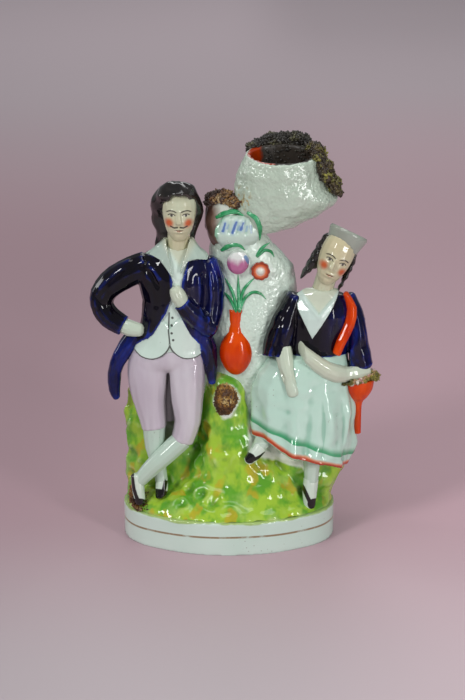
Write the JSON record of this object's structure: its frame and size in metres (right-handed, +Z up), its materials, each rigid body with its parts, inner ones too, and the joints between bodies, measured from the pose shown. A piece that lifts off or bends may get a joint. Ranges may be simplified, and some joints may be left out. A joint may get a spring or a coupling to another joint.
{
  "type": "spill vase",
  "caption": "Flat-backed glazed earthenware figure group of a man and a woman beside a tree trunk whose hollow broken top holds spills.",
  "frame": {"origin": "centre of the oval foot, on the surface that the vase stands on", "axes": "+Z up, +X to the right seen from the front, the front faces -Y"},
  "size_m": [0.2014, 0.096, 0.2895],
  "materials": {
    "white_glaze": "clear glossy lead glaze over white earthenware",
    "green_glaze": "mottled green and ochre under glossy glaze",
    "moss_clay": "sieved clay moss, brown and olive, glossy glaze",
    "orange_enamel": "glossy orange enamel",
    "pink_enamel": "glossy pink enamel",
    "lilac_enamel": "thin lilac enamel under glossy glaze",
    "cobalt_glaze": "dark underglaze cobalt, very glossy",
    "flesh_enamel": "pale flesh tint under glossy glaze",
    "black_enamel": "glossy black enamel",
    "mint_glaze": "pale mint white glaze with a green and an orange band at the hem"
  },
  "bodies": {
    "root": {"base_plinth": "white_glaze", "base_slab": "white_glaze", "grass_mound": "green_glaze", "tree_trunk": "white_glaze", "branch_stub": "moss_clay", "spill_cup": "white_glaze", "flower_vase": "orange_enamel", "flower_stems": "green_glaze", "tulip": "pink_enamel", "daisy": "orange_enamel", "white_bloom": "white_glaze", "leaf_scrolls": "green_glaze", "cup_moss_back": "moss_clay", "cup_moss_side": "moss_clay", "stub_moss": "moss_clay", "knoll_moss": "moss_clay", "foot_moss": "moss_clay", "urn_moss": "moss_clay", "man_breeches": "lilac_enamel", "man_waistcoat": "white_glaze", "man_coat": "cobalt_glaze", "man_head": "flesh_enamel", "man_hair": "black_enamel", "man_collar": "white_glaze", "man_right_sleeve": "cobalt_glaze", "man_right_hand": "flesh_enamel", "man_left_sleeve": "cobalt_glaze", "man_left_hand": "flesh_enamel", "man_right_tail": "cobalt_glaze", "man_left_tail": "cobalt_glaze", "man_right_stocking": "white_glaze", "man_left_stocking": "white_glaze", "man_right_shoe": "black_enamel", "man_left_shoe": "black_enamel", "woman_skirt": "mint_glaze", "woman_bodice": "cobalt_glaze", "woman_fichu": "white_glaze", "woman_head": "flesh_enamel", "woman_hair": "black_enamel", "woman_hat": "white_glaze", "woman_right_sleeve": "cobalt_glaze", "woman_right_forearm": "flesh_enamel", "woman_left_sleeve": "cobalt_glaze", "woman_left_forearm": "flesh_enamel", "woman_sash": "orange_enamel", "woman_right_stocking": "white_glaze", "woman_right_shoe": "black_enamel", "woman_left_stocking": "white_glaze", "woman_left_shoe": "black_enamel", "urn_stand": "orange_enamel"}
  },
  "joints": []
}
